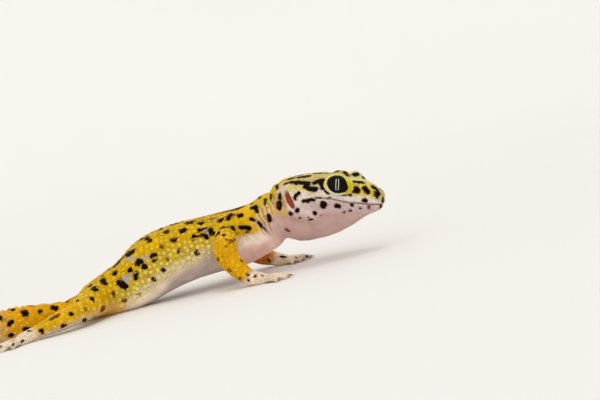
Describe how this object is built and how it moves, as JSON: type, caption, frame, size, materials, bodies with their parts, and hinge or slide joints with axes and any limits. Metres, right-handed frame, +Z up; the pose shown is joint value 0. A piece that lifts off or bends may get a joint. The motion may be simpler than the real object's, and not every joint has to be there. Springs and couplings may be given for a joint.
{
  "type": "leopard gecko",
  "caption": "Life-size still museum model of a spotted yellow leopard gecko lying on its belly on a flat floor, with its head raised and turned.",
  "frame": {"origin": "centre of the model's bounding box, at the floor", "axes": "+X towards the head, +Y towards the animal's left side, +Z up"},
  "size_m": [0.1388, 0.0602, 0.0235],
  "materials": {
    "skin": "dry, finely scaled skin, yellow with black spots above and pinkish white below",
    "eye": "wet and glossy, nearly black",
    "ear_drum": "matt reddish brown membrane"
  },
  "bodies": {
    "root": {"head": "skin", "lower_jaw": "skin", "neck": "skin", "trunk": "skin", "tail_base": "skin", "tail_middle": "skin", "tail_tip": "skin", "upper_arm_right": "skin", "forearm_right": "skin", "hand_right": "skin", "thigh_right": "skin", "shin_right": "skin", "foot_right": "skin", "upper_arm_left": "skin", "forearm_left": "skin", "hand_left": "skin", "thigh_left": "skin", "shin_left": "skin", "foot_left": "skin", "eye_right": "eye", "eye_left": "eye", "ear_right": "ear_drum", "ear_left": "ear_drum"}
  },
  "joints": []
}
